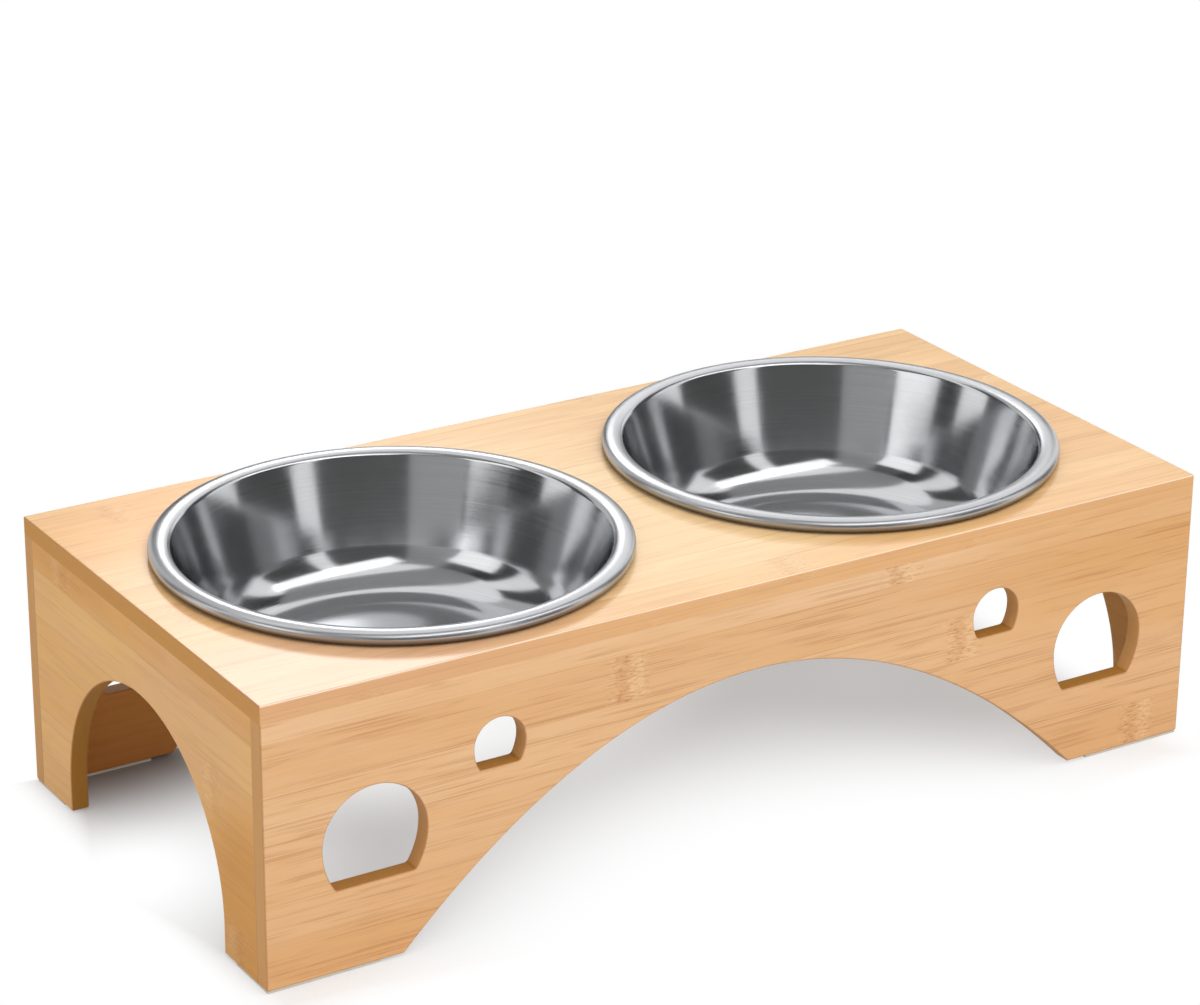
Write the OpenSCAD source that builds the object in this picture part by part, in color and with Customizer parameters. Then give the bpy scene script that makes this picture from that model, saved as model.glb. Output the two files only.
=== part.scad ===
// Raised feeder for a dog: a bamboo stand with arched sides that carries two steel bowls.
// X runs along the stand, the front faces -Y, and the floor is at Z = 0.

/* [Bowls] */
// Outside diameter of a bowl across its rolled rim
bowl_diameter = 177; // [150:1:215]
// Height of a bowl from the crown of its rim to the underside of its base
bowl_height = 50; // [40:1:75]
// Width of the rolled rim, from the mouth to the outer edge
rim_width = 8.4; // [7:0.2:12]
// Radius of the roll at the inner and outer edge of the rim
rim_edge_radius = 2.4; // [1.6:0.1:3.2]
// Radius of the rim's crown between its two edges
rim_crown_radius = 8; // [6:0.5:16]
// How far the outer roll tucks under, measured from level
rim_tuck_angle = 70; // [40:1:85]
// Lean of the bowl's wall from upright
wall_lean = 18; // [8:1:24]
// Inside radius between the bowl's wall and its base
base_corner_radius = 22; // [12:1:28]
// Thickness of the steel sheet
sheet_thickness = 0.7; // [0.5:0.1:1.2]

/* [Stand] */
// Free space between the two rims
bowl_gap = 16.6; // [8:0.2:40]
// Distance from a rim to the end of the stand
end_margin = 14.7; // [12:0.1:40]
// Distance from a rim to the front or rear of the stand
side_margin = 6.5; // [4:0.1:30]
// Height from the floor to the top face
stand_height = 109; // [100:1:180]
// Thickness of every bamboo board
board_thickness = 7; // [6:0.5:10]

/* [Front and rear arches] */
// Height of the crown of the arch above the floor
arch_crown = 75; // [55:0.5:82]
// Length of each foot, from the stand's end to the arch at floor level
foot_length = 52.8; // [44:0.1:62]

/* [End arches] */
// Height of the crown of the end arch above the floor
end_arch_crown = 75; // [50:0.5:82]
// Width of each leg of an end panel
end_leg_width = 25; // [18:0.5:40]

/* [Windows] */
// Width of a large window across its round head
large_window_width = 40.8; // [36:0.2:44]
// Height of a large window from its sill to its crown
large_window_height = 36.6; // [33:0.2:40]
// Length of a large window's level sill, to where its sides would meet it
large_window_sill_length = 31; // [26:0.2:34]
// Height of a large window's sill above the floor
large_window_sill = 32.4; // [26:0.1:40]
// Distance from the stand's end to the middle of a large window
large_window_inset = 43; // [36:0.1:50]
// Width of a small window across its round head
small_window_width = 20.4; // [18:0.1:22]
// Height of a small window from its sill to its crown
small_window_height = 18.6; // [16.5:0.1:20]
// Length of a small window's level sill, to where its sides would meet it
small_window_sill_length = 15.8; // [13:0.1:17]
// Height of a small window's sill above the floor
small_window_sill = 63.7; // [58:0.1:66]
// Distance from the stand's end to the middle of a small window
small_window_inset = 92.6; // [86:0.1:98]
// Radius in the lower corners of a window
window_corner_radius = 1.6; // [0.5:0.1:2.5]

/* [Dowels] */
// Diameter of a glue dowel
dowel_diameter = 3; // [2:0.1:4]
// Length of a glue dowel
dowel_length = 14; // [10:0.5:18]
// Depth that a dowel reaches into the face of a board
dowel_face_depth = 4; // [2.5:0.1:4.5]
// Chamfer on both ends of a dowel
dowel_chamfer = 0.4; // [0.2:0.1:0.8]
// Dowels between the top panel and the front or rear panel
long_dowel_count = 5; // [3:1:9]
// Dowels between the top panel and an end panel
end_dowel_count = 3; // [2:1:5]
// Dowels in each upright corner
corner_dowel_count = 2; // [2:1:4]
// Distance from the end of a joint to its first dowel
dowel_inset = 18; // [14:0.5:24]

/* [Pads] */
// Thickness of an anti-slip pad
pad_thickness = 1; // [0.6:0.1:3]
// Distance from the pad's edges to the faces of the boards
pad_inset = 0.5; // [0.2:0.1:1.5]
// Distance from the pad's ends to the ends of the foot
pad_setback = 8; // [4:0.5:14]

/* [Fits] */
// Gap between the top of the bowl's wall and its hole, all round
hole_clearance = 1.3; // [0.5:0.1:3]
// Gap under the rim where the bowl rests on the top panel
rest_gap = 0.3; // [0.2:0.05:0.5]
// Gap between a dowel and its hole, all round
dowel_clearance = 0.05; // [0.02:0.01:0.15]
// Room for glue beyond each end of a dowel
glue_room = 0.5; // [0.2:0.1:1]

/* [Hidden] */
// Facets of a circle, and of the widest circles
$fn = 96;
wide_facets = 240;

// Colours of the bamboo boards, the dowels, the steel and the pads
bamboo_colour = [0.89, 0.72, 0.53];
dowel_colour = [0.80, 0.62, 0.42];
steel_colour = [0.78, 0.79, 0.80];
pad_colour = [0.84, 0.83, 0.79];

// The two sides of the stand along each level axis
front = -1;
rear = 1;
left = -1;
right = 1;

// A cut runs this far past the faces that it opens
overcut = 1;

// The stand is laid out round the two rims
rim_radius = bowl_diameter / 2;
half_length = bowl_gap / 2 + bowl_diameter + end_margin;
half_depth = rim_radius + side_margin;
bowl_x = bowl_gap / 2 + rim_radius;

// Levels of the panels between the pads and the top panel
panel_bottom = pad_thickness;
panel_top = stand_height - board_thickness;
inner_half_depth = half_depth - board_thickness;

// The arch of the long panels spans the stand between the feet
arch_half_span = half_length - foot_length;

// The arch of the end panels: a half round on upright sides
end_arch_radius = inner_half_depth - end_leg_width;
end_arch_spring = end_arch_crown - end_arch_radius;

// The rim's section: two edge rolls with the crown arc tangent to both
mouth_radius = rim_radius - rim_width;
rim_middle = rim_radius - rim_width / 2;
roll_offset = rim_width / 2 - rim_edge_radius;
roll_level = rest_gap + rim_edge_radius;
crown_drop = sqrt(pow(rim_crown_radius - rim_edge_radius, 2) - pow(roll_offset, 2));
crown_level = roll_level - crown_drop;
rim_top = crown_level + rim_crown_radius;
crown_turn = atan2(crown_drop, roll_offset);

// The bowl's inner face: from the inner roll down the leaning wall to the base corner
wall_top = [
    mouth_radius + rim_edge_radius * (1 - cos(wall_lean)),
    roll_level + rim_edge_radius * sin(wall_lean),
];
floor_level = rim_top - bowl_height + sheet_thickness;
wall_drop = wall_top.y - floor_level - base_corner_radius * (1 - sin(wall_lean));
wall_foot = wall_top - wall_drop * [tan(wall_lean), 1];
corner_centre = wall_foot + base_corner_radius * [-cos(wall_lean), sin(wall_lean)];
hole_radius = mouth_radius + sheet_thickness + hole_clearance;

// Straight steps that stand for the arcs of the bowl's section
base_corner_steps = 12;
lip_steps = 6;
crown_steps = 6;
roll_steps = 14;

// Straight steps that stand for half of an arch and for the arcs of a window
arch_steps = 40;
window_head_steps = 48;
window_side_steps = 10;
window_corner_steps = 4;

// Even steps from one end of a joint to the other
function steps(from, to, count) = [for (i = [0 : count - 1]) from + (to - from) * i / (count - 1)];
long_dowel_x = steps(dowel_inset - half_length, half_length - dowel_inset, long_dowel_count);
end_dowel_y = steps(dowel_inset - inner_half_depth, inner_half_depth - dowel_inset, end_dowel_count);
corner_dowel_z = steps(panel_bottom + dowel_inset, panel_top - dowel_inset, corner_dowel_count);

// A solid drawn in X and Z, pushed through from y = 0 to y = depth
module push_back(depth) {
    translate([0, depth, 0]) rotate([90, 0, 0]) linear_extrude(depth) children();
}

// Points along an arc, from one angle to another; the first can be left to the stretch before it
function arc(centre, radius, from, to, count, first = 0) =
    [for (i = [first : count]) let (a = from + (to - from) * i / count) centre + radius * [cos(a), sin(a)]];

// One face of the bowl's sheet, from the axis to the tucked edge of the rim.
// The inner face is at depth 0 and the outer face at the sheet's thickness.
function bowl_face(depth) = let (edge = rim_edge_radius - depth) concat(
    [[0, floor_level - depth]],
    arc(corner_centre, base_corner_radius + depth, -90, -wall_lean, base_corner_steps),
    arc([rim_middle - roll_offset, roll_level], edge, 180 - wall_lean, 180 - crown_turn, lip_steps),
    arc([rim_middle, crown_level], rim_crown_radius - depth, 180 - crown_turn, crown_turn, crown_steps, 1),
    arc([rim_middle + roll_offset, roll_level], edge, crown_turn, -rim_tuck_angle, roll_steps, 1)
);

// Half of the bowl's section
module bowl_section() {
    inner = bowl_face(0);
    outer = bowl_face(sheet_thickness);
    polygon(concat(inner, [for (i = [len(outer) - 1 : -1 : 0]) outer[i]]));
}

module bowl(side) {
    translate([side * bowl_x, 0, stand_height]) rotate_extrude() bowl_section();
}

// A dowel that stands across the level z = 0, with its shorter end above it in the face of a board
module dowel() {
    radius = dowel_diameter / 2;
    low = dowel_face_depth - dowel_length;
    high = dowel_face_depth;
    rotate_extrude() polygon([
        [0, low], [radius - dowel_chamfer, low], [radius, low + dowel_chamfer],
        [radius, high - dowel_chamfer], [radius - dowel_chamfer, high], [0, high],
    ]);
}

// The hole for a dowel, through both of the boards that it joins
module dowel_hole() {
    translate([0, 0, dowel_face_depth - dowel_length - glue_room])
        cylinder(h = dowel_length + 2 * glue_room, r = dowel_diameter / 2 + dowel_clearance);
}

// Places along the joint of the top panel with a long panel
module along_long_joint(side) {
    for (x = long_dowel_x)
        translate([x, side * (half_depth - board_thickness / 2), panel_top]) children();
}

// Places along the joint of the top panel with an end panel
module along_end_joint(side) {
    for (y = end_dowel_y)
        translate([side * (half_length - board_thickness / 2), y, panel_top]) children();
}

// Places up the joint of a long panel with an end panel
module up_corner_joint(end, side) {
    for (z = corner_dowel_z)
        translate([end * (half_length - board_thickness / 2), side * inner_half_depth, z])
            rotate([-side * 90, 0, 0]) children();
}

// A window: a round head on sides that draw in, on wider arcs, to a level sill with rounded corners
module window(width, height, sill_length, sill) {
    radius = width / 2;
    drop = height - radius;
    draw_in = (width - sill_length) / 2;
    side_radius = (pow(drop, 2) + pow(draw_in, 2)) / (2 * draw_in);
    side_x = side_radius - radius;
    corner_drop = drop - window_corner_radius;
    corner_reach = side_radius - window_corner_radius;
    touch = asin(corner_drop / corner_reach);
    corner_x = corner_reach * cos(touch) - side_x;
    translate([0, sill + drop]) polygon(concat(
        arc([corner_x, -corner_drop], window_corner_radius, -90, -touch, window_corner_steps),
        arc([-side_x, 0], side_radius, -touch, 0, window_side_steps, 1),
        arc([0, 0], radius, 0, 180, window_head_steps, 1),
        arc([side_x, 0], side_radius, 180, 180 + touch, window_side_steps, 1),
        arc([-corner_x, -corner_drop], window_corner_radius, 180 + touch, 270, window_corner_steps, 1)
    ));
}

// The opening under a long panel: a parabola from the floor up to the crown and down again
module arch_opening() {
    polygon([for (i = [-arch_steps : arch_steps]) let (share = i / arch_steps)
        [arch_half_span * share, arch_crown * (1 - pow(share, 2))]]);
}

// The opening under an end panel's arch, drawn on below the floor
module end_arch_opening() {
    translate([0, end_arch_spring]) {
        circle(end_arch_radius);
        translate([-end_arch_radius, -end_arch_crown]) square([2 * end_arch_radius, end_arch_crown]);
    }
}

module long_panel_outline() {
    difference() {
        translate([-half_length, panel_bottom]) square([2 * half_length, panel_top - panel_bottom]);
        arch_opening();
        for (end = [left, right]) {
            translate([end * (half_length - large_window_inset), 0])
                window(large_window_width, large_window_height, large_window_sill_length, large_window_sill);
            translate([end * (half_length - small_window_inset), 0])
                window(small_window_width, small_window_height, small_window_sill_length, small_window_sill);
        }
    }
}

module end_panel_outline() {
    difference() {
        translate([-inner_half_depth, panel_bottom])
            square([2 * inner_half_depth, panel_top - panel_bottom]);
        end_arch_opening();
    }
}

module long_panel(side) {
    difference() {
        translate([0, side * (half_depth - board_thickness / 2) - board_thickness / 2, 0])
            push_back(board_thickness) long_panel_outline();
        along_long_joint(side) dowel_hole();
        for (end = [left, right])
            up_corner_joint(end, side) dowel_hole();
    }
}

module end_panel(end) {
    difference() {
        translate([end * (half_length - board_thickness / 2) + board_thickness / 2, 0, 0])
            rotate([0, 0, 90]) push_back(board_thickness) end_panel_outline();
        along_end_joint(end) dowel_hole();
        for (side = [front, rear])
            up_corner_joint(end, side) dowel_hole();
    }
}

// An angled strip under the foot where a long panel meets an end panel
module foot_pad(end, side) {
    strip = board_thickness - 2 * pad_inset;
    foot_run = foot_length - pad_setback - pad_inset;
    leg_run = board_thickness + end_leg_width - pad_setback - pad_inset;
    mirror([end == right ? 1 : 0, 0, 0]) mirror([0, side == rear ? 1 : 0, 0])
        translate([pad_inset - half_length, pad_inset - half_depth, 0])
            linear_extrude(pad_thickness) {
                square([foot_run, strip]);
                square([strip, leg_run]);
            }
}

module top_panel() {
    color(bamboo_colour) difference() {
        translate([-half_length, -half_depth, panel_top])
            cube([2 * half_length, 2 * half_depth, board_thickness]);
        for (side = [left, right])
            translate([side * bowl_x, 0, panel_top - overcut])
                cylinder(h = board_thickness + 2 * overcut, r = hole_radius, $fn = wide_facets);
        for (side = [front, rear])
            along_long_joint(side) dowel_hole();
        for (end = [left, right])
            along_end_joint(end) dowel_hole();
    }
}

module front_panel() {
    color(bamboo_colour) long_panel(front);
}

module rear_panel() {
    color(bamboo_colour) long_panel(rear);
}

module left_end_panel() {
    color(bamboo_colour) end_panel(left);
}

module right_end_panel() {
    color(bamboo_colour) end_panel(right);
}

module left_bowl() {
    color(steel_colour) bowl(left);
}

module right_bowl() {
    color(steel_colour) bowl(right);
}

module dowels_top_front() {
    color(dowel_colour) along_long_joint(front) dowel();
}

module dowels_top_rear() {
    color(dowel_colour) along_long_joint(rear) dowel();
}

module dowels_top_left() {
    color(dowel_colour) along_end_joint(left) dowel();
}

module dowels_top_right() {
    color(dowel_colour) along_end_joint(right) dowel();
}

module dowels_front_left() {
    color(dowel_colour) up_corner_joint(left, front) dowel();
}

module dowels_front_right() {
    color(dowel_colour) up_corner_joint(right, front) dowel();
}

module dowels_rear_left() {
    color(dowel_colour) up_corner_joint(left, rear) dowel();
}

module dowels_rear_right() {
    color(dowel_colour) up_corner_joint(right, rear) dowel();
}

module pad_front_left() {
    color(pad_colour) foot_pad(left, front);
}

module pad_front_right() {
    color(pad_colour) foot_pad(right, front);
}

module pad_rear_left() {
    color(pad_colour) foot_pad(left, rear);
}

module pad_rear_right() {
    color(pad_colour) foot_pad(right, rear);
}

top_panel();
front_panel();
rear_panel();
left_end_panel();
right_end_panel();
left_bowl();
right_bowl();
dowels_top_front();
dowels_top_rear();
dowels_top_left();
dowels_top_right();
dowels_front_left();
dowels_front_right();
dowels_rear_left();
dowels_rear_right();
pad_front_left();
pad_front_right();
pad_rear_left();
pad_rear_right();
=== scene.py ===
import math

import bmesh
import bpy
from mathutils import Matrix, Vector


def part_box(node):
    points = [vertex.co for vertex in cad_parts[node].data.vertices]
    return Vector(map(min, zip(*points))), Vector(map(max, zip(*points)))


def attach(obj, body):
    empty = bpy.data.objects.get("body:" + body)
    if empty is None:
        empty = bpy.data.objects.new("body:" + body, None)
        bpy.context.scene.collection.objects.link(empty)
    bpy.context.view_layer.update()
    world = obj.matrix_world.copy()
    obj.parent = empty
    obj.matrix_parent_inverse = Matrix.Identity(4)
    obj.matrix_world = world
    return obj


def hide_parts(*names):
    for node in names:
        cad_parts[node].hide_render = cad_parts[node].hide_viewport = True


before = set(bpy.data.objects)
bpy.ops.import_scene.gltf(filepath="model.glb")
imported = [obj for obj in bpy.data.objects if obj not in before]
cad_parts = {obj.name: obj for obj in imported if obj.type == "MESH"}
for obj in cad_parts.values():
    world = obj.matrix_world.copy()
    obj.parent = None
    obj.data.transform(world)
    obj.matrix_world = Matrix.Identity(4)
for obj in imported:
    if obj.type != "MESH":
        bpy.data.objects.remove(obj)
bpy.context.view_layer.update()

MM = 0.001

# Places of the boards, read from the frame
top_low, top_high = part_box("top_panel")
front_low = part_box("front_panel")[0]
end_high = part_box("left_end_panel")[1]
bowl_low, bowl_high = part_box("right_bowl")
HALF_LENGTH = top_high.x
HALF_DEPTH = top_high.y
STAND_TOP = top_high.z
PANEL_TOP = top_low.z
PANEL_FOOT = front_low.z
BOARD = STAND_TOP - PANEL_TOP
INNER_HALF_DEPTH = end_high.y
BOWL_X = (bowl_low.x + bowl_high.x) / 2

# Openings in the boards
ARCH_CROWN = 75 * MM
ARCH_FOOT = 52.8 * MM
END_ARCH_CROWN = 75 * MM
END_LEG = 25 * MM
WINDOW_CORNER = 1.6 * MM
LARGE_WINDOW = {
    "width": 40.8 * MM,
    "height": 36.6 * MM,
    "sill_length": 31 * MM,
    "sill": 32.4 * MM,
    "inset": 43 * MM,
}
SMALL_WINDOW = {
    "width": 20.4 * MM,
    "height": 18.6 * MM,
    "sill_length": 15.8 * MM,
    "sill": 63.7 * MM,
    "inset": 92.6 * MM,
}

# How many straight steps stand for each curve of the boards
ARCH_STEPS = 40
END_ARCH_STEPS = 72
HOLE_STEPS = 144
WINDOW_HEAD_STEPS = 56
WINDOW_SIDE_STEPS = 12
WINDOW_CORNER_STEPS = 6

# Sine of the turn below which two edges of an outline count as one smooth curve
SMOOTH_TURN = 0.2

# Angle between two faces above which their shared edge stays sharp
SHARP_ANGLE = math.radians(40)

# Sanded edges of the boards
EASE = 0.6 * MM
EASE_STEPS = 3

# Section of a bowl
BOWL_RADIUS = 88.5 * MM
BOWL_HEIGHT = 50 * MM
RIM_WIDTH = 8.4 * MM
RIM_EDGE = 2.4 * MM
RIM_CROWN = 8 * MM
RIM_TUCK = math.radians(70)
WALL_LEAN = math.radians(18)
BASE_CORNER = 22 * MM
SHEET = 0.7 * MM
REST_GAP = 0.3 * MM
HOLE_CLEARANCE = 1.3 * MM
MOUTH_RADIUS = BOWL_RADIUS - RIM_WIDTH
HOLE_RADIUS = MOUTH_RADIUS + SHEET + HOLE_CLEARANCE

# How many straight steps stand for each stretch of a bowl's section, and for its full turn
BASE_STEPS = 8
BEND_STEPS = 20
WALL_STEPS = 6
LIP_STEPS = 8
CROWN_STEPS = 10
ROLL_STEPS = 18
BOWL_SEGMENTS = 160

# Floor: how pale it is in the open, how pale it is painted under the stand and in the stand's rear left
# corner as painted shade, how white it shows under the stand, how rough it is, and its half size
FLOOR_OPEN = 0.88
FLOOR_UNDER = 0.72
FLOOR_CORNER = 0.3
FLOOR_WHITE = 0.4
FLOOR_ROUGH = 0.9
FLOOR_SIZE = 6

# How far the floor lies below the pads, and the length of a ray below which the floor is clear to it
FLOOR_GAP = 0.2 * MM
FLOOR_CLEAR = 5 * FLOOR_GAP

# Painted shade under the stand: how far outside and inside each side of the stand it fades
LEFT_FADE = (12 * MM, 14 * MM)
RIGHT_FADE = (10 * MM, 35 * MM)
REAR_FADE = (3 * MM, 3 * MM)
FRONT_FADE = (25 * MM, 2 * MM)

# Painted light on the floor from the front: middle and bend of its edge, and where it fades towards the
# rear
FRONT_LIGHT_MIDDLE = 12 * MM
FRONT_LIGHT_BEND = 3.67
FRONT_LIGHT_FADE = (-85 * MM, 35 * MM)

# Painted light that the arches let in on the floor: middle, half size, strength and even core of each patch
REAR_PATCH = ((-50 * MM, 70 * MM, 0), (119 * MM, 76 * MM, 1), 0.5, 0.3)
LEFT_PATCH = ((-205 * MM, 8 * MM, 0), (85 * MM, 75 * MM, 1), 0.66, 0)

# Deeper painted shade in the rear left corner: where it starts, and where it fades towards the right
CORNER_START = 20 * MM
CORNER_FADE = (-150 * MM, -90 * MM)

# Plain light from all round
WORLD_LIGHT = 0.5

# Height of the tall drapes and of the ceiling cloth
TALL = 3.2

# Drapes round the studio: start and stop in degrees, distance, height and how pale each one is
DRAPES = (
    (36, 66, 2.3, 1.05, 0.3),
    (57, 66, 2.35, 1.9, 0.6),
    (66, 84, 2.3, 1.2, 0.1),
    (66, 84, 2.4, TALL, 0.75),
    (84, 116, 2.4, TALL, 0.9),
    (116, 136, 2.4, TALL, 0.12),
    (155, 176, 2.4, TALL, 0.08),
    (176, 200, 2.4, TALL, 0.2),
    (200, 230, 2.4, TALL, 0.55),
    (230, 281, 2.4, TALL, 0.18),
    (294, 330, 2.4, TALL, 0.12),
    (351, 375, 2.4, TALL, 0.1),
)

# Level of the drapes' hems, and how many flat steps stand for a drape's curve
DRAPE_HEM = 1 * MM
DRAPE_STEPS = 24

# Grey ceiling cloth over the stand: its half width, its front and rear edge, and how pale it is
CEILING_SIDE = 2.4
CEILING_FRONT = -1.0
CEILING_REAR = 0.8
CEILING_GREY = 0.55

# Lamps, all aimed at the stand: place, width and height, power, and whether metal and lacquer mirror them
STAND_MIDDLE = (0, 0, 60 * MM)
LAMPS = {
    "key_softbox": ((0.05, -0.78, 1.5), (1.6, 1.6), 16.5, False),
    "front_strip": ((0.3, -1.0, 1.6), (2.6, 0.5), 6, True),
    "left_softbox": ((-1.5, -0.1, 0.8), (0.8, 0.8), 2.3, True),
    "rear_softbox": ((0.71, 1.6, 1.08), (0.42, 0.34), 2.5, True),
    "rear_fill": ((1.38, 1.6, 1.02), (0.7, 0.24), 0.6, True),
}

# Camera: 1200 by 1005 image, aimed from the front left
CAMERA_PLACE = (-0.7202, -1.1365, 0.6646)
CAMERA_AZIMUTH = math.radians(-32.07)
CAMERA_ELEVATION = math.radians(22.55)
CAMERA_ROLL = math.radians(0.53)
CAMERA_LENS = 116.3
CAMERA_SENSOR = 36
CAMERA_NEAR = 50 * MM


def arc(centre, radius, start, stop, count):
    """Points along an arc in a plane, both ends included."""
    angles = [start + (stop - start) * i / count for i in range(count + 1)]
    return [Vector((centre[0] + radius * math.cos(a), centre[1] + radius * math.sin(a))) for a in angles]


# Boards

class Loop:
    """A closed outline with the board on its left, and for each edge whether its two rims are eased."""

    def __init__(self):
        self.points = []
        self.eased = []

    def run(self, points, low, high):
        """Adds points; the edges that leave them are eased at the low and high face as given."""
        for p in points:
            self.points.append(Vector(p))
            self.eased.append((low, high))

    def inset(self, distance, face):
        """The outline moved inwards by distance along the edges that are eased at that face."""
        count = len(self.points)
        moved = []
        for i, p in enumerate(self.points):
            before = (p - self.points[i - 1]).normalized()
            after = (self.points[(i + 1) % count] - p).normalized()
            n0 = Vector((-before.y, before.x))
            n1 = Vector((-after.y, after.x))
            d0 = distance * self.eased[i - 1][face]
            d1 = distance * self.eased[i][face]
            cross = n0.x * n1.y - n0.y * n1.x
            if abs(cross) < SMOOTH_TURN:
                moved.append(p + (n0 + n1) * (max(d0, d1) / (1 + n0.dot(n1))))
            else:
                moved.append(p + Vector((d0 * n1.y - d1 * n0.y, d1 * n0.x - d0 * n1.x)) / cross)
        return moved

    def easing(self, i, face):
        """1 where either edge at a point is eased at that face."""
        return max(self.eased[i - 1][face], self.eased[i][face])


def board(name, loops, low, high, place):
    """A board between two levels, its outlines' rims sanded round. place turns (u, v, w) into a point."""
    bm = bmesh.new()
    eased = bm.verts.layers.float.new("eased")
    quarter = [math.pi / 2 * k / EASE_STEPS for k in range(EASE_STEPS + 1)]
    levels = [(0, a, low + EASE * (1 - math.sin(a))) for a in reversed(quarter)]
    levels += [(1, a, high - EASE * (1 - math.sin(a))) for a in quarter]
    caps = {0: [], 1: []}
    for loop in loops:
        count = len(loop.points)
        rings = []
        for face, angle, level in levels:
            outline = loop.inset(EASE * (1 - math.cos(angle)), face)
            ring = [bm.verts.new(place(p.x, p.y, level)) for p in outline]
            for i, v in enumerate(ring):
                v[eased] = math.sin(2 * angle) * loop.easing(i, face)
            rings.append(ring)
        for lower, upper in zip(rings, rings[1:]):
            for i in range(count):
                j = (i + 1) % count
                bm.faces.new((lower[i], lower[j], upper[j], upper[i]))
        for face, ring in ((0, rings[0]), (1, rings[-1])):
            caps[face] += [bm.edges.get((ring[i], ring[(i + 1) % count])) for i in range(count)]
    for edges in caps.values():
        bmesh.ops.triangle_fill(bm, use_beauty=True, edges=edges)
    bmesh.ops.recalc_face_normals(bm, faces=bm.faces)
    return finish_mesh(name, bm)


def finish_mesh(name, bm):
    """Turns a bmesh into an object with smooth faces that break at hard corners."""
    mesh = bpy.data.meshes.new(name)
    bm.to_mesh(mesh)
    bm.free()
    mesh.shade_smooth()
    mesh.set_sharp_from_angle(angle=SHARP_ANGLE)
    piece = bpy.data.objects.new(name, mesh)
    bpy.context.scene.collection.objects.link(piece)
    weighted = piece.modifiers.new("face_weighted_normals", "WEIGHTED_NORMAL")
    weighted.keep_sharp = True
    return piece


def corner(centre, start):
    """A quarter turn of the easing's own radius, for a corner of an outline."""
    return arc(centre, EASE, start, start + math.pi / 2, EASE_STEPS)


def window_loop(middle, shape):
    """A round head on sides that draw in to a level sill with rounded corners, as a hole."""
    radius = shape["width"] / 2
    drop = shape["height"] - radius
    draw_in = (shape["width"] - shape["sill_length"]) / 2
    side_radius = (drop ** 2 + draw_in ** 2) / (2 * draw_in)
    side = Vector((side_radius - radius, 0))
    reach = side_radius - WINDOW_CORNER
    touch = math.asin((drop - WINDOW_CORNER) / reach)
    centre = Vector((middle, shape["sill"] + drop))
    turn = centre - side + reach * Vector((math.cos(touch), -math.sin(touch)))
    right = arc(turn, WINDOW_CORNER, -math.pi / 2, -touch, WINDOW_CORNER_STEPS)
    right += arc(centre - side, side_radius, -touch, 0, WINDOW_SIDE_STEPS)[1:]
    head = arc(centre, radius, 0, math.pi, WINDOW_HEAD_STEPS)[1:-1]
    left = [Vector((2 * middle - p.x, p.y)) for p in reversed(right)]
    loop = Loop()
    loop.run(reversed(right + head + left), 1, 1)
    return loop


def long_panel_loops(outer):
    """Outline and windows of the front or rear panel; outer is 0 if its low face shows outside, else 1."""
    outside = (1, 0) if outer == 0 else (0, 1)
    half_span = HALF_LENGTH - ARCH_FOOT
    foot = half_span * math.sqrt(1 - PANEL_FOOT / ARCH_CROWN)
    steps = [foot * i / ARCH_STEPS for i in range(-ARCH_STEPS, ARCH_STEPS + 1)]
    parabola = [(x, ARCH_CROWN * (1 - (x / half_span) ** 2)) for x in steps]
    low_left = Vector((EASE - HALF_LENGTH, PANEL_FOOT + EASE))
    low_right = Vector((HALF_LENGTH - EASE, PANEL_FOOT + EASE))
    outline = Loop()
    outline.run(corner(low_left, math.pi), 1, 1)
    outline.run(parabola, 1, 1)
    right_turn = corner(low_right, 3 * math.pi / 2)
    outline.run(right_turn[:-1], 1, 1)
    outline.run(right_turn[-1:], *outside)
    outline.run([(HALF_LENGTH, PANEL_TOP)], 0, 0)
    outline.run([(-HALF_LENGTH, PANEL_TOP)], *outside)
    windows = [
        window_loop(end * (HALF_LENGTH - shape["inset"]), shape)
        for end in (-1, 1)
        for shape in (LARGE_WINDOW, SMALL_WINDOW)
    ]
    return [outline] + windows


def end_panel_loops():
    """Outline of an end panel with its round-headed arch."""
    radius = INNER_HALF_DEPTH - END_LEG
    spring = END_ARCH_CROWN - radius
    outline = Loop()
    outline.run([(-INNER_HALF_DEPTH, PANEL_FOOT), (-radius, PANEL_FOOT)], 1, 1)
    outline.run(arc((0, spring), radius, math.pi, 0, END_ARCH_STEPS), 1, 1)
    outline.run([(radius, PANEL_FOOT)], 1, 1)
    outline.run([(INNER_HALF_DEPTH, PANEL_FOOT)], 0, 0)
    outline.run([(INNER_HALF_DEPTH, PANEL_TOP), (-INNER_HALF_DEPTH, PANEL_TOP)], 0, 0)
    return [outline]


def top_panel_loops():
    """Outline of the top panel and the holes for the bowls."""
    x, y = HALF_LENGTH - EASE, HALF_DEPTH - EASE
    outline = Loop()
    for centre, start in (((-x, -y), 2), ((x, -y), 3), ((x, y), 4), ((-x, y), 5)):
        outline.run(corner(centre, start * math.pi / 2), 0, 1)
    holes = []
    for side in (-1, 1):
        hole = Loop()
        hole.run(arc((side * BOWL_X, 0), HOLE_RADIUS, 2 * math.pi, 0, HOLE_STEPS)[:-1], 1, 1)
        holes.append(hole)
    return [outline] + holes


def along_long(u, v, w):
    return Vector((u, w, v))


def along_end(u, v, w):
    return Vector((w, u, v))


def along_top(u, v, w):
    return Vector((u, v, w))


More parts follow.
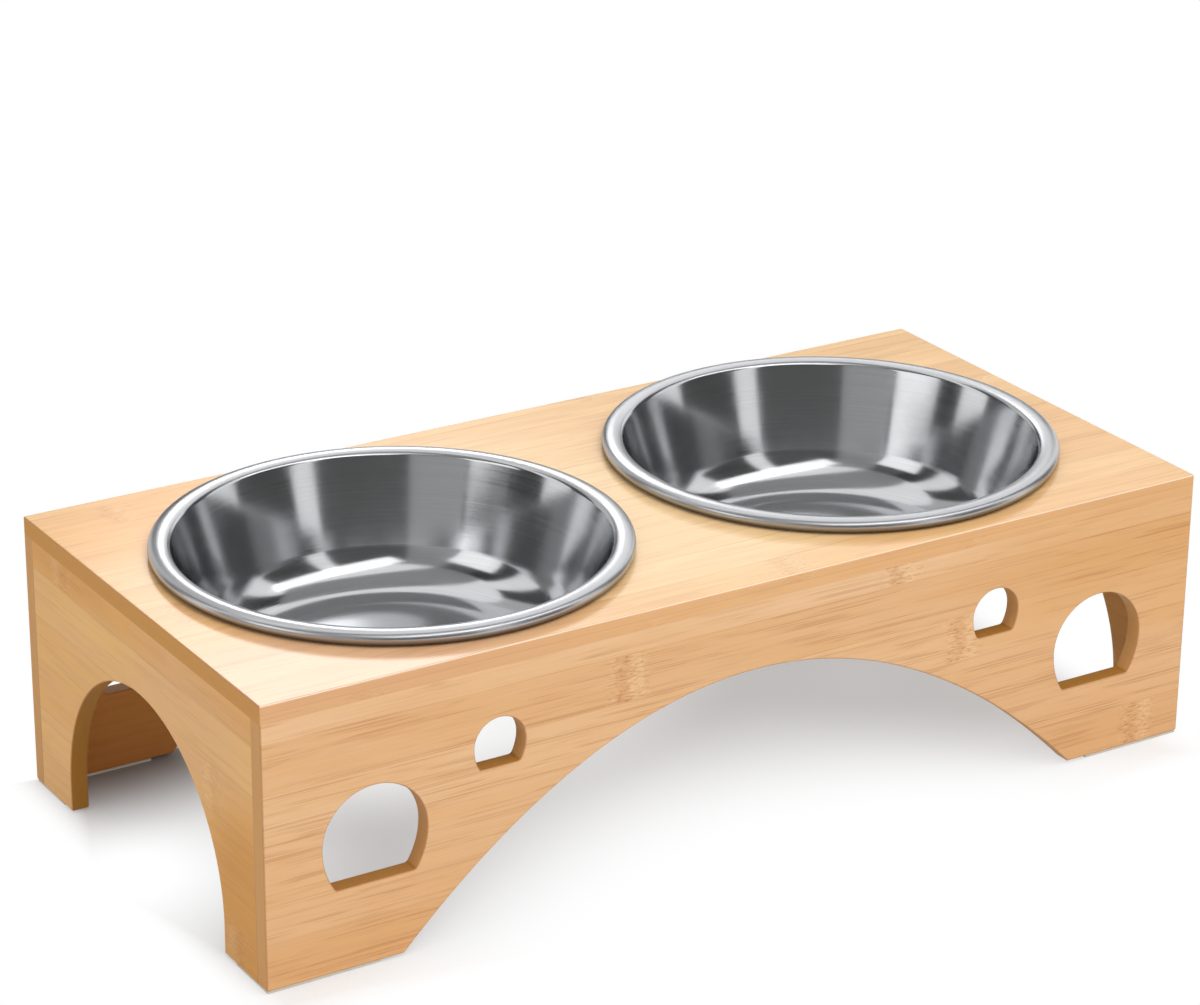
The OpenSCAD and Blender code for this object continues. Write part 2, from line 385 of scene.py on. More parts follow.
def make_boards():
    """The five bamboo boards, by node name."""
    inner, outer = INNER_HALF_DEPTH, HALF_DEPTH
    side = HALF_LENGTH - BOARD
    return {
        "top_panel": board("bamboo_top", top_panel_loops(), PANEL_TOP, STAND_TOP, along_top),
        "front_panel": board("bamboo_front", long_panel_loops(0), -outer, -inner, along_long),
        "rear_panel": board("bamboo_rear", long_panel_loops(1), inner, outer, along_long),
        "left_end_panel": board("bamboo_left_end", end_panel_loops(), -HALF_LENGTH, -side, along_end),
        "right_end_panel": board("bamboo_right_end", end_panel_loops(), side, HALF_LENGTH, along_end),
    }


# Bowls

def bowl_face(depth):
    """One face of the bowl's sheet in section, from the axis to the tucked edge of the rim."""
    middle = BOWL_RADIUS - RIM_WIDTH / 2
    offset = RIM_WIDTH / 2 - RIM_EDGE
    roll_level = REST_GAP + RIM_EDGE
    drop = math.sqrt((RIM_CROWN - RIM_EDGE) ** 2 - offset ** 2)
    crown_level = roll_level - drop
    turn = math.atan2(drop, offset)
    wall_top = Vector((
        MOUTH_RADIUS + RIM_EDGE * (1 - math.cos(WALL_LEAN)),
        roll_level + RIM_EDGE * math.sin(WALL_LEAN),
    ))
    floor = crown_level + RIM_CROWN - BOWL_HEIGHT + SHEET
    wall_drop = wall_top.y - floor - BASE_CORNER * (1 - math.sin(WALL_LEAN))
    wall_foot = wall_top - wall_drop * Vector((math.tan(WALL_LEAN), 1))
    corner_centre = wall_foot + BASE_CORNER * Vector((-math.cos(WALL_LEAN), math.sin(WALL_LEAN)))
    edge = RIM_EDGE - depth
    base = [Vector((corner_centre.x * i / BASE_STEPS, floor - depth)) for i in range(BASE_STEPS)]
    bend = arc(corner_centre, BASE_CORNER + depth, -math.pi / 2, -WALL_LEAN, BEND_STEPS)
    lip = arc((middle - offset, roll_level), edge, math.pi - WALL_LEAN, math.pi - turn, LIP_STEPS)
    wall = [bend[-1].lerp(lip[0], i / WALL_STEPS) for i in range(1, WALL_STEPS)]
    crown = arc((middle, crown_level), RIM_CROWN - depth, math.pi - turn, turn, CROWN_STEPS)[1:]
    roll = arc((middle + offset, roll_level), edge, turn, -RIM_TUCK, ROLL_STEPS)[1:]
    return base + bend + wall + lip + crown + roll


def make_bowl(name, side):
    """A spun sheet of steel, closed round its inner and outer face."""
    section = bowl_face(0) + list(reversed(bowl_face(SHEET)))
    bm = bmesh.new()
    axis_in = bm.verts.new((0, 0, section[0].y))
    axis_out = bm.verts.new((0, 0, section[-1].y))
    turns = [2 * math.pi * i / BOWL_SEGMENTS for i in range(BOWL_SEGMENTS)]
    rings = [
        [bm.verts.new((p.x * math.cos(a), p.x * math.sin(a), p.y)) for a in turns]
        for p in section[1:-1]
    ]
    for i in range(BOWL_SEGMENTS):
        j = (i + 1) % BOWL_SEGMENTS
        bm.faces.new((axis_in, rings[0][i], rings[0][j]))
        bm.faces.new((axis_out, rings[-1][j], rings[-1][i]))
        for inner, outer in zip(rings, rings[1:]):
            bm.faces.new((inner[i], outer[i], outer[j], inner[j]))
    bmesh.ops.recalc_face_normals(bm, faces=bm.faces)
    piece = finish_mesh(name, bm)
    piece.location = (side * BOWL_X, 0, STAND_TOP)
    return piece


# Shader graphs

# Sockets of a Mix node that mixes colours
MIX_FACTOR = 0
MIX_FIRST = 6
MIX_SECOND = 7
MIX_RESULT = 2

# Where a spot's edge has faded out, as a share of its half size
SPOT_END = 1.2

# Plain white, for a shader socket
WHITE = (1, 1, 1, 1)


def tone(red, green, blue):
    """A colour given in 8-bit display values, for a shader socket."""
    def linear(value):
        share = value / 255
        return share / 12.92 if share <= 0.04045 else ((share + 0.055) / 1.055) ** 2.4
    return (linear(red), linear(green), linear(blue), 1)


def grey_tone(share):
    """A grey given by its linear share of white, for a shader socket."""
    return (share, share, share, 1)


class Graph:
    """A node tree with short ways to add nodes. Most of them give back an output socket."""

    def __init__(self, tree):
        self.tree = tree

    def node(self, kind, inputs, **settings):
        made = self.tree.nodes.new(kind)
        for key, value in settings.items():
            setattr(made, key, value)
        for key, value in inputs.items():
            self.feed(made.inputs[key], value)
        return made

    def feed(self, socket, value):
        if isinstance(value, bpy.types.NodeSocket):
            self.tree.links.new(value, socket)
        else:
            socket.default_value = value

    def math(self, operation, *values, clamp=False):
        return self.node(
            "ShaderNodeMath", dict(enumerate(values)), operation=operation, use_clamp=clamp
        ).outputs[0]

    def vector(self, operation, *values):
        return self.node("ShaderNodeVectorMath", dict(enumerate(values)), operation=operation).outputs[0]

    def split(self, vector):
        return self.node("ShaderNodeSeparateXYZ", {0: vector}).outputs

    def join(self, x, y, z):
        return self.node("ShaderNodeCombineXYZ", {0: x, 1: y, 2: z}).outputs[0]

    def rise(self, value, low, high):
        """0 below low, 1 above high, smooth between."""
        inputs = {"Value": value, "From Min": low, "From Max": high}
        return self.node("ShaderNodeMapRange", inputs, interpolation_type="SMOOTHSTEP").outputs[0]

    def fall(self, value, low, high):
        """1 below low, 0 above high, smooth between."""
        return self.math("SUBTRACT", 1, self.rise(value, low, high))

    def spot(self, point, middle, size, core):
        """1 in the core of an ellipse of the given half size, 0 a little outside it, smooth between."""
        away = self.vector("DIVIDE", self.vector("SUBTRACT", point, middle), size)
        distance = self.node("ShaderNodeVectorMath", {0: away}, operation="LENGTH").outputs["Value"]
        return self.fall(distance, core, SPOT_END)

    def noise(self, vector, detail=3, roughness=0.55):
        inputs = {"Vector": vector, "Scale": 1, "Detail": detail, "Roughness": roughness}
        return self.node("ShaderNodeTexNoise", inputs).outputs[0]

    def grain(self, point, steps, detail, roughness):
        """Noise that changes by the given steps per millimetre in each direction."""
        return self.noise(self.vector("MULTIPLY", point, steps), detail, roughness)

    def mix(self, factor, first, second):
        inputs = {MIX_FACTOR: factor, MIX_FIRST: first, MIX_SECOND: second}
        return self.node("ShaderNodeMix", inputs, data_type="RGBA").outputs[MIX_RESULT]

    def layer(self, colour, mask, share, over):
        """A colour with another one over it, which covers by the given share where the mask is 1."""
        return self.mix(self.math("MULTIPLY", mask, share), colour, over)

    def shader_mix(self, factor, first, second):
        return self.node("ShaderNodeMixShader", {0: factor, 1: first, 2: second}).outputs[0]

    def group(self, tree, **inputs):
        made = self.tree.nodes.new("ShaderNodeGroup")
        made.node_tree = tree
        for key, value in inputs.items():
            self.feed(made.inputs[key.replace("_", " ").title()], value)
        return made.outputs


def new_group(name, inputs, outputs):
    """A shader node group with named sockets; gives back its graph, its inputs and its outputs."""
    tree = bpy.data.node_groups.new(name, "ShaderNodeTree")
    kinds = {"vector": "NodeSocketVector", "value": "NodeSocketFloat"}
    for title, kind in inputs.items():
        tree.interface.new_socket(title, in_out="INPUT", socket_type=kinds[kind])
    for title, kind in outputs.items():
        tree.interface.new_socket(title, in_out="OUTPUT", socket_type=kinds[kind])
    given = tree.nodes.new("NodeGroupInput").outputs
    out = tree.nodes.new("NodeGroupOutput").inputs
    return Graph(tree), given, out


# Width of a bamboo strip in millimetres, and the share of it by which one ply's strips are offset
STRIP_WIDTH = 18.75
PLY_SHIFT = 0.43

# Lines between strips and between plies: where each fades, in millimetres from its middle, how slowly the
# lines between strips come and go, and how far apart the fibres of two strips are taken
SEAM_FADE = (0.05, 0.35)
GLUE_FADE = (0.08, 0.25)
SEAM_GRAIN = 0.02
FIBRE_SHIFT = 400

# Fibres: how finely each kind changes along, across and through a strip, in steps per millimetre
STREAK_GRAIN = (0.011, 1.9, 1.9)
HAIR_GRAIN = (0.006, 1.6, 1.6)
BREAK_GRAIN = (0.028, 0.35, 0.35)
FINE_GRAIN = (0.05, 3.4, 3.4)
CLOUD_GRAIN = (0.012, 0.12, 0.2)

# Knuckle marks: grain of the ridge's slow drift, its ragged line and the dashes, and how far it strays
DRIFT_GRAIN = (0.03, 0.28, 0.28)
RAGGED_GRAIN = (0.08, 1.3, 1.3)
DASH_GRAIN = (0.33, 1.45, 1.45)
DRIFT_REACH = 8
RAGGED_REACH = 6

# Knuckle marks: place beside the ridge and fade of the dark band and the pale band, fade of the dashed zone
# and of the mark at the strip's borders, all in millimetres
BAND_PLACE = -2
BAND_FADE = (0.4, 4.2)
PALE_PLACE = 4
PALE_FADE = (1, 5)
ZONE_FADE = (5, 11)
BORDER_FADE = (-0.7, 0)

# Knuckle marks: how strongly the bands and the dashes show
BAND_SHARE = 0.24
DARK_DASH_SHARE = 0.8
PALE_SHARE = 0.5
PALE_DASH_SHARE = 0.6

# Spun rings: steps per millimetre out from the axis and up, and steps per radian round it
RING_GRAIN = 5
RING_TURN = 0.9


def strip_layout_group():
    """Pressed bamboo strips: each strip's tone, the lines between strips and plies, and shifted fibres."""
    g, given, out = new_group(
        "strip_layout",
        {"Point": "vector", "Strip Width": "value", "Strip Start": "value", "Seed": "value"},
        {"Tone": "value", "Line": "value", "Strip Point": "vector"},
    )
    along, across, through = g.split(given["Point"])
    ply = g.math("GREATER_THAN", through, 0)
    place = g.math("SUBTRACT", across, given["Strip Start"])
    place = g.math("DIVIDE", place, given["Strip Width"])
    place = g.math("MULTIPLY_ADD", ply, PLY_SHIFT, place)
    index = g.math("FLOOR", place)
    share = g.math("FRACT", place)
    key = g.join(index, g.math("ADD", given["Seed"], ply), given["Seed"])
    random = g.node("ShaderNodeTexWhiteNoise", {"Vector": key}, noise_dimensions="3D").outputs
    border = g.math("MINIMUM", share, g.math("SUBTRACT", 1, share))
    seam = g.fall(g.math("MULTIPLY", border, given["Strip Width"]), *SEAM_FADE)
    patchy = g.noise(g.join(g.math("MULTIPLY", along, SEAM_GRAIN), index, given["Seed"]), 1)
    seam = g.math("MULTIPLY", seam, g.rise(patchy, 0.3, 0.7))
    glue = g.fall(g.math("ABSOLUTE", through), *GLUE_FADE)
    away = g.vector("SCALE", random["Color"])
    away.node.inputs["Scale"].default_value = FIBRE_SHIFT
    g.feed(out["Tone"], random["Value"])
    g.feed(out["Line"], g.math("MAXIMUM", seam, glue))
    g.feed(out["Strip Point"], g.vector("ADD", given["Point"], away))
    return g.tree


def fibre_group():
    """Fibres that run along a strip: broad streaks, thin hairlines, fine texture and slow clouds."""
    g, given, out = new_group(
        "bamboo_fibre",
        {"Point": "vector"},
        {"Streak": "value", "Hair": "value", "Fine": "value", "Cloud": "value"},
    )
    streak = g.grain(given["Point"], STREAK_GRAIN, 3, 0.6)
    crossing = g.grain(given["Point"], HAIR_GRAIN, 1, 0.5)
    broken = g.grain(given["Point"], BREAK_GRAIN, 2, 0.5)
    fine = g.grain(given["Point"], FINE_GRAIN, 3, 0.6)
    cloud = g.grain(given["Point"], CLOUD_GRAIN, 2, 0.5)
    hair = g.fall(g.math("ABSOLUTE", g.math("SUBTRACT", crossing, 0.5)), 0.02, 0.09)
    g.feed(out["Streak"], g.rise(streak, 0.48, 0.76))
    g.feed(out["Hair"], g.math("MULTIPLY", hair, g.rise(broken, 0.44, 0.62)))
    g.feed(out["Fine"], g.rise(fine, 0.3, 0.75))
    g.feed(out["Cloud"], g.rise(cloud, 0.32, 0.72))
    return g.tree


def knuckle_group():
    """The mark that a culm's knuckle leaves across one strip: short dashes on a dark band, paler beside it.

    Place is the mark's middle; its third value is the side of the glue line that it lies on, or 0 for both.
    """
    g, given, out = new_group(
        "bamboo_knuckle",
        {"Point": "vector", "Place": "vector", "Strip Width": "value"},
        {"Dark": "value", "Pale": "value"},
    )
    away = g.split(g.vector("SUBTRACT", given["Point"], given["Place"]))
    through = g.split(given["Point"])[2]
    side = g.split(given["Place"])[2]
    on_ply = g.math("GREATER_THAN", g.math("MULTIPLY", through, side), -0.01)
    half = g.math("MULTIPLY", given["Strip Width"], 0.5)
    over = g.math("SUBTRACT", g.math("ABSOLUTE", away[1]), half)
    inside = g.math("MULTIPLY", g.fall(over, *BORDER_FADE), on_ply)
    drift = g.grain(given["Point"], DRIFT_GRAIN, 2, 0.6)
    ragged = g.grain(given["Point"], RAGGED_GRAIN, 2, 0.6)
    wander = g.math("MULTIPLY", g.math("SUBTRACT", drift, 0.5), DRIFT_REACH)
    wander = g.math("MULTIPLY_ADD", g.math("SUBTRACT", ragged, 0.5), RAGGED_REACH, wander)
    ridge_place = g.math("ADD", away[0], wander)
    band = g.fall(g.math("ABSOLUTE", g.math("SUBTRACT", ridge_place, BAND_PLACE)), *BAND_FADE)
    pale = g.fall(g.math("ABSOLUTE", g.math("SUBTRACT", ridge_place, PALE_PLACE)), *PALE_FADE)
    zone = g.fall(g.math("ABSOLUTE", ridge_place), *ZONE_FADE)
    dashes = g.grain(given["Point"], DASH_GRAIN, 3, 0.65)
    dark_dash = g.math("MULTIPLY", g.math("MULTIPLY", g.rise(dashes, 0.5, 0.66), zone), DARK_DASH_SHARE)
    pale_dash = g.math("MULTIPLY", g.math("MULTIPLY", g.fall(dashes, 0.36, 0.47), zone), PALE_DASH_SHARE)
    dark = g.math("MULTIPLY_ADD", band, BAND_SHARE, dark_dash, clamp=True)
    light = g.math("MULTIPLY_ADD", pale, PALE_SHARE, pale_dash, clamp=True)
    g.feed(out["Dark"], g.math("MULTIPLY", dark, inside))
    g.feed(out["Pale"], g.math("MULTIPLY", light, inside))
    return g.tree


def handling_group():
    """Slow unevenness of a finish: wiped and touched patches."""
    g, given, out = new_group("handling", {"Point": "vector", "Patch Size": "value"}, {"Patch": "value"})
    scale = g.math("DIVIDE", 1, given["Patch Size"])
    point = g.vector("SCALE", given["Point"])
    g.feed(point.node.inputs["Scale"], scale)
    g.feed(out["Patch"], g.rise(g.noise(point, 4, 0.6), 0.35, 0.7))
    return g.tree


def spun_marks_group():
    """Fine rings that polishing on a spindle leaves round an axis."""
    g, given, out = new_group("spun_marks", {"Point": "vector"}, {"Ring": "value", "Radius": "value"})
    x, y, z = g.split(given["Point"])
    radius = g.math("SQRT", g.math("ADD", g.math("MULTIPLY", x, x), g.math("MULTIPLY", y, y)))
    turn = g.math("ARCTAN2", y, x)
    out_steps = g.math("MULTIPLY", radius, RING_GRAIN)
    up_steps = g.math("MULTIPLY", z, RING_GRAIN)
    rings = g.join(out_steps, up_steps, g.math("MULTIPLY", turn, RING_TURN))
    g.feed(out["Ring"], g.noise(rings, 3, 0.7))
    g.feed(out["Radius"], radius)
    return g.tree


strip_layout = strip_layout_group()
bamboo_fibre = fibre_group()
bamboo_knuckle = knuckle_group()
handling = handling_group()
spun_marks = spun_marks_group()

# Materials

# Tones of bamboo: its clouds, streaks, lines and knuckle marks
BAMBOO_CLOUD = tone(224, 172, 116)
BAMBOO_STREAK = tone(204, 143, 89)
BAMBOO_LINE = tone(172, 108, 60)
KNUCKLE_DARK = tone(182, 116, 64)
KNUCKLE_PALE = tone(242, 207, 158)

# Tones of sawn edges and end grain, the painted shade on the faces under the stand, sanded edges, and the
# painted highlight along upper sanded edges
SAWN_TONE = tone(164, 112, 40)
END_TONE = tone(205, 152, 91)
LONG_EDGE_TONE = tone(217, 167, 122)
INNER_PAINTED_SHADE = tone(202, 126, 34)
EDGE_TONE = tone(158, 100, 62)
EDGE_PAINTED_HIGHLIGHT = tone(255, 246, 232)

# Tones of single stretches of the boards, partly the bamboo's own tone and partly painted light, shade and
# sheen
GOLDEN_TONE = tone(210, 145, 50)
ROSY_TONE = tone(218, 173, 142)
PALE_TONE = tone(255, 226, 176)
ORANGE_TONE = tone(248, 184, 110)

# How strongly each mark shows in a board's colour
CLOUD_SHARE = 0.4
FINE_SHARE = 0.16
STREAK_SHARE = 0.18
HAIR_SHARE = 0.38
KNUCKLE_PALE_SHARE = 0.5
KNUCKLE_DARK_SHARE = 0.66
LINE_SHARE = 0.38
LONG_EDGE_SHARE = 0.6
SAWN_SHARE = 0.93
EASED_SHARE = 0.55

# How deep each mark lies in a board's surface, and strength and depth of the whole relief
LINE_GROOVE = 0.8
STREAK_GROOVE = 0.4
HAIR_GROOVE = 0.5
KNUCKLE_GROOVE = 0.7
FINE_RELIEF = 0.4
BOARD_RELIEF = (0.35, 0.08 * MM)

# Roughness of a board, and what touched patches, streaks and end grain add to it
BOARD_ROUGH = 0.38
PATCH_ROUGH = 0.06
STREAK_ROUGH = 0.08
END_ROUGH = 0.12

# Size of touched patches on a board in millimetres, the even share of a stretch with a tone of its own, and
# where a board's face under the stand starts, in millimetres from its middle
BOARD_PATCH = 70
STRETCH_CORE = 0.4
INNER_FACE = (3.3, 3.45)

# Steel: tones of polished sheet, satin rim and painted shade on the roll under it, and that shade's
# strength
STEEL_DARK = tone(204, 205, 207)
STEEL_PALE = tone(218, 219, 221)
RIM_DARK = tone(206, 207, 210)
RIM_PALE = tone(218, 219, 222)
PAINTED_ROLL_SHADE = tone(74, 74, 77)
PAINTED_ROLL_SHARE = 0.85

# Steel in millimetres: fade of the rim from the mouth and of the roll's painted shade upwards, how far in
# from the outer edge the roll is fully painted dark, and size of touched patches
RIM_FADE = (0.2, 1.4)
ROLL_FADE = (1.4, 3.8)
ROLL_REACH = 1
STEEL_PATCH = 26

# Roughness of polished steel, and what the satin rim, the spun rings and touched patches add to it
STEEL_ROUGH = 0.09
RIM_ROUGH = 0.17
RING_ROUGH = 0.05
STEEL_PATCH_ROUGH = 0.05
STEEL_RELIEF = (0.12, 0.01 * MM)

# Raw dowels: tones, how strongly streaks show, patch size, roughness and relief
DOWEL_PALE = tone(222, 180, 130)
DOWEL_DEEP = tone(206, 158, 104)
DOWEL_STREAK_SHARE = 0.5
DOWEL_PATCH = 9
DOWEL_ROUGH = 0.6
DOWEL_PATCH_ROUGH = 0.12
DOWEL_RELIEF = (0.3, 0.06 * MM)

# Silicone pads: tones, grain of the pressed texture in steps per millimetre, patches, roughness and relief
PAD_DARK = tone(212, 202, 184)
PAD_PALE = tone(222, 213, 197)
PAD_TOUCHED = tone(200, 188, 168)
PAD_GRAIN = (3.5, 3.5, 3.5)
PAD_TOUCHED_SHARE = 0.35
PAD_PATCH = 12
PAD_ROUGH = 0.62
PAD_PATCH_ROUGH = 0.1
PAD_RELIEF = (0.4, 0.08 * MM)


def new_material(name):
    """A new material, its graph, its Principled shader, its point in millimetres and its normal."""
    material = bpy.data.materials.new(name)
    material.use_nodes = True
    g = Graph(material.node_tree)
    shader = material.node_tree.nodes["Principled BSDF"]
    coordinates = g.node("ShaderNodeTexCoord", {}).outputs
    point = g.vector("SCALE", coordinates["Object"])
    point.node.inputs["Scale"].default_value = 1 / MM
    return material, g, shader, point, coordinates["Normal"]


def bump(g, shader, height, strength, distance):
    """Feeds a height in the shader's normal."""
    inputs = {"Height": height, "Strength": strength, "Distance": distance}
    g.feed(shader.inputs["Normal"], g.node("ShaderNodeBump", inputs).outputs[0])


def knuckle_place(along, across, ply, strip_start):
    """Middle of the strip that a knuckle mark lies on, in millimetres."""
    shift = PLY_SHIFT if ply > 0 else 0
    strip = math.floor((across - strip_start) / STRIP_WIDTH + shift)
    return (along, strip_start + (strip + 0.5 - shift) * STRIP_WIDTH, ply)


def knuckle_marks(g, grain_point, knuckles, strip_start):
    """Dark and pale shares of all knuckle marks of one board."""
    dark, light = 0, 0
    for along, across, ply in knuckles:
        place = knuckle_place(along, across, ply, strip_start)
        mark = g.group(bamboo_knuckle, point=grain_point, place=place, strip_width=STRIP_WIDTH)
        dark = g.math("MAXIMUM", mark["Dark"], dark)
        light = g.math("MAXIMUM", mark["Pale"], light)
    return dark, light


def bamboo_material(
    name, axes, middle, inside, shade, strip_start, seed, pale, deep, figure, edge, reveal, lacquer,
    stretches, knuckles,
):
    """Lacquered bamboo for one board. axes are the board's along, across and through directions.

    inside is the way to its face under the stand, and shade is how strongly painted shade deepens that
    face's tone.
    figure is how strongly the fibres show, and edge is how much its long edges look sawn.
    reveal is 1 where its end grain is as deep in tone as they are.
    stretches lists areas of their own tone, partly painted light and shade: middle, half size, strength and
    tone.
    """
    material, g, shader, point, normal = new_material(name)
    parts = g.split(point)
    through = g.math("SUBTRACT", parts[axes[2]], middle / MM)
    grain_point = g.join(parts[axes[0]], parts[axes[1]], through)
    layout = {"strip_width": STRIP_WIDTH, "strip_start": strip_start, "seed": seed}
    strips = g.group(strip_layout, point=grain_point, **layout)
    fibre = g.group(bamboo_fibre, point=strips["Strip Point"])
    patch = g.group(handling, point=point, patch_size=BOARD_PATCH)["Patch"]
    dark, light = knuckle_marks(g, grain_point, knuckles, strip_start)

    facing = g.split(g.vector("ABSOLUTE", normal))
    end = g.rise(facing[axes[0]], 0.6, 0.95)
    flat = g.rise(facing[axes[2]], 0.3, 0.7)
    upright = g.math("SUBTRACT", 1, flat)
    sawn = g.math("MULTIPLY", upright, g.math("MAXIMUM", end, edge))
    inner = g.rise(g.math("MULTIPLY", through, inside), *INNER_FACE)
    eased = g.node("ShaderNodeAttribute", {}, attribute_name="eased").outputs["Fac"]
    upper = g.math("MULTIPLY", g.math("GREATER_THAN", through, 0), g.rise(facing[axes[1]], 0.3, 0.6))
    hair = g.math("MULTIPLY", fibre["Hair"], g.math("SUBTRACT", 1, end))
    cut_tone = g.layer(SAWN_TONE, end, 1 - reveal, END_TONE)
    # Sanded edges take a darker tone; where edge is 0, their upper long rims get a painted highlight
    # instead
    eased_tone_and_highlight = g.layer(EDGE_TONE, upper, 1 - edge, EDGE_PAINTED_HIGHLIGHT)

    colour = g.mix(strips["Tone"], pale, deep)
    colour = g.layer(colour, fibre["Cloud"], CLOUD_SHARE, BAMBOO_CLOUD)
    # Stretches of a tone of their own: partly the bamboo's tone, partly painted light, shade and sheen
    for place, size, strength, own_tone in stretches:
        colour = g.layer(colour, g.spot(grain_point, place, size, STRETCH_CORE), strength, own_tone)
    colour = g.layer(colour, fibre["Fine"], FINE_SHARE, BAMBOO_STREAK)
    colour = g.layer(colour, fibre["Streak"], STREAK_SHARE * figure, BAMBOO_STREAK)
    colour = g.layer(colour, hair, HAIR_SHARE * figure, BAMBOO_LINE)
    colour = g.layer(colour, light, KNUCKLE_PALE_SHARE * figure, KNUCKLE_PALE)
    colour = g.layer(colour, dark, KNUCKLE_DARK_SHARE * figure, KNUCKLE_DARK)
    colour = g.layer(colour, strips["Line"], LINE_SHARE, BAMBOO_LINE)
    # Painted shade on the board's face under the stand
    colour = g.layer(colour, inner, shade, INNER_PAINTED_SHADE)
    colour = g.layer(colour, upright, LONG_EDGE_SHARE * (1 - edge), LONG_EDGE_TONE)
    colour = g.layer(colour, sawn, SAWN_SHARE, cut_tone)
    colour = g.layer(colour, eased, EASED_SHARE, eased_tone_and_highlight)
    g.feed(shader.inputs["Base Color"], colour)

    rough = g.math("MULTIPLY_ADD", patch, PATCH_ROUGH, BOARD_ROUGH)
    rough = g.math("MULTIPLY_ADD", fibre["Streak"], STREAK_ROUGH, rough)
    g.feed(shader.inputs["Roughness"], g.math("MULTIPLY_ADD", end, END_ROUGH, rough))
    shader.inputs["Specular IOR Level"].default_value = lacquer["specular"]
    g.feed(shader.inputs["Coat Weight"], g.math("MULTIPLY", flat, lacquer["coat"]))
    shader.inputs["Coat Roughness"].default_value = lacquer["roughness"]
    shader.inputs["Coat IOR"].default_value = lacquer["ior"]

    groove = g.math("MULTIPLY", strips["Line"], LINE_GROOVE)
    for mark, depth in ((fibre["Streak"], STREAK_GROOVE), (hair, HAIR_GROOVE), (dark, KNUCKLE_GROOVE)):
        groove = g.math("ADD", groove, g.math("MULTIPLY", mark, depth))
    relief = g.math("SUBTRACT", g.math("MULTIPLY", fibre["Fine"], FINE_RELIEF), groove)
    bump(g, shader, relief, *BOARD_RELIEF)
    return material


def steel_material():
    """Polished stainless sheet with a satin rim, painted shade on the roll under it and fine spun rings."""
    material, g, shader, point, _ = new_material("polished_steel")
    marks = g.group(spun_marks, point=point)
    patch = g.group(handling, point=point, patch_size=STEEL_PATCH)["Patch"]
    level = g.split(point)[2]
    rim = g.rise(marks["Radius"], MOUTH_RADIUS / MM + RIM_FADE[0], MOUTH_RADIUS / MM + RIM_FADE[1])
    # The outer roll under the rim is painted dark, as painted shade and painted dark reflection
    outer_roll = g.rise(marks["Radius"], (BOWL_RADIUS - RIM_EDGE) / MM, BOWL_RADIUS / MM - ROLL_REACH)
    tucked = g.math("MULTIPLY", g.fall(level, *ROLL_FADE), outer_roll)
    ring = g.rise(marks["Ring"], 0.3, 0.7)
    polished = g.mix(ring, STEEL_DARK, STEEL_PALE)
    satin = g.mix(ring, RIM_DARK, RIM_PALE)
    colour = g.layer(g.mix(rim, polished, satin), tucked, PAINTED_ROLL_SHARE, PAINTED_ROLL_SHADE)
    g.feed(shader.inputs["Base Color"], colour)
    rough = g.math("MULTIPLY_ADD", rim, RIM_ROUGH, STEEL_ROUGH)
    rough = g.math("MULTIPLY_ADD", ring, RING_ROUGH, rough)
    g.feed(shader.inputs["Roughness"], g.math("MULTIPLY_ADD", patch, STEEL_PATCH_ROUGH, rough))
    shader.inputs["Metallic"].default_value = 1
    bump(g, shader, ring, *STEEL_RELIEF)
    return material


def dowel_material():
    """Raw turned bamboo, pale with open fibres."""
    material, g, shader, point, _ = new_material("raw_dowel_bamboo")
    fibre = g.group(bamboo_fibre, point=point)
    patch = g.group(handling, point=point, patch_size=DOWEL_PATCH)["Patch"]
    colour = g.mix(fibre["Cloud"], DOWEL_PALE, DOWEL_DEEP)
    colour = g.layer(colour, fibre["Streak"], DOWEL_STREAK_SHARE, BAMBOO_STREAK)
    g.feed(shader.inputs["Base Color"], colour)
    g.feed(shader.inputs["Roughness"], g.math("MULTIPLY_ADD", patch, DOWEL_PATCH_ROUGH, DOWEL_ROUGH))
    bump(g, shader, fibre["Fine"], *DOWEL_RELIEF)
    return material


def pad_material():
    """Pale matte silicone rubber with a faint pressed texture."""
    material, g, shader, point, _ = new_material("pale_silicone")
    texture = g.grain(point, PAD_GRAIN, 2, 0.6)
    patch = g.group(handling, point=point, patch_size=PAD_PATCH)["Patch"]
    colour = g.mix(g.rise(texture, 0.4, 0.6), PAD_DARK, PAD_PALE)
    colour = g.layer(colour, patch, PAD_TOUCHED_SHARE, PAD_TOUCHED)
    g.feed(shader.inputs["Base Color"], colour)
    g.feed(shader.inputs["Roughness"], g.math("MULTIPLY_ADD", patch, PAD_PATCH_ROUGH, PAD_ROUGH))
    bump(g, shader, texture, *PAD_RELIEF)
    return material


# The lacquer: thick on the top panel, which is seen at a low angle, and thin on the upright boards
TOP_LACQUER = {"specular": 0, "coat": 0.95, "roughness": 0.25, "ior": 1.8}
SIDE_LACQUER = {"specular": 0.15, "coat": 0.05, "roughness": 0.3, "ior": 1.5}

